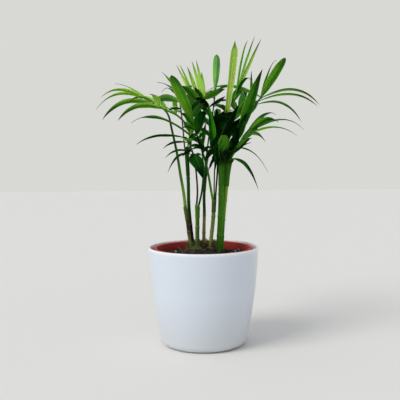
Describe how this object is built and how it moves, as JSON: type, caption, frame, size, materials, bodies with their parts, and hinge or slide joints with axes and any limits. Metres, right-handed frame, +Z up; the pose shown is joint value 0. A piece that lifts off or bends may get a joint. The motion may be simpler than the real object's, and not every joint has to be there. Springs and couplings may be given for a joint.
{
  "type": "potted bamboo palm",
  "caption": "Young bamboo palm with arching feathery fronds on slim ringed canes, in a red-brown nursery pot set inside a smooth white tapered cover pot.",
  "frame": {"origin": "middle of the cover pot's underside, on the ground", "axes": "+Z up through the pots' axis, +X to the right and +Y to the back, as the front elevation shows the plant"},
  "size_m": [0.2671, 0.207, 0.3646],
  "materials": {
    "white_plastic": "smooth soft gloss",
    "red_plastic": "satin",
    "potting_soil": "rough and damp",
    "brown_cane": "dry and ringed",
    "green_cane": "smooth and ringed",
    "dark_leaf": "satin, finely ribbed",
    "mid_leaf": "satin, finely ribbed",
    "light_leaf": "satin, finely ribbed"
  },
  "bodies": {
    "root": {"cover_pot": "white_plastic", "nursery_pot": "red_plastic", "soil": "potting_soil", "cane_left_front": "brown_cane", "cane_left_tall": "green_cane", "cane_centre_left": "green_cane", "cane_centre_thin": "brown_cane", "cane_centre_right": "green_cane", "cane_right_front": "green_cane", "cane_right_back": "green_cane", "spear_leaf": "light_leaf", "frond_left_arch": "light_leaf", "frond_left_mid": "light_leaf", "frond_left_high": "mid_leaf", "frond_left_skirt": "dark_leaf", "frond_fan": "light_leaf", "frond_centre_back": "mid_leaf", "frond_upright": "light_leaf", "frond_front": "dark_leaf", "frond_front_left": "mid_leaf", "frond_low_centre": "dark_leaf", "frond_right_arch": "mid_leaf", "frond_right_low": "mid_leaf", "frond_right_skirt": "dark_leaf", "frond_back": "mid_leaf", "frond_back_left": "mid_leaf", "frond_back_right": "mid_leaf"}
  },
  "joints": []
}
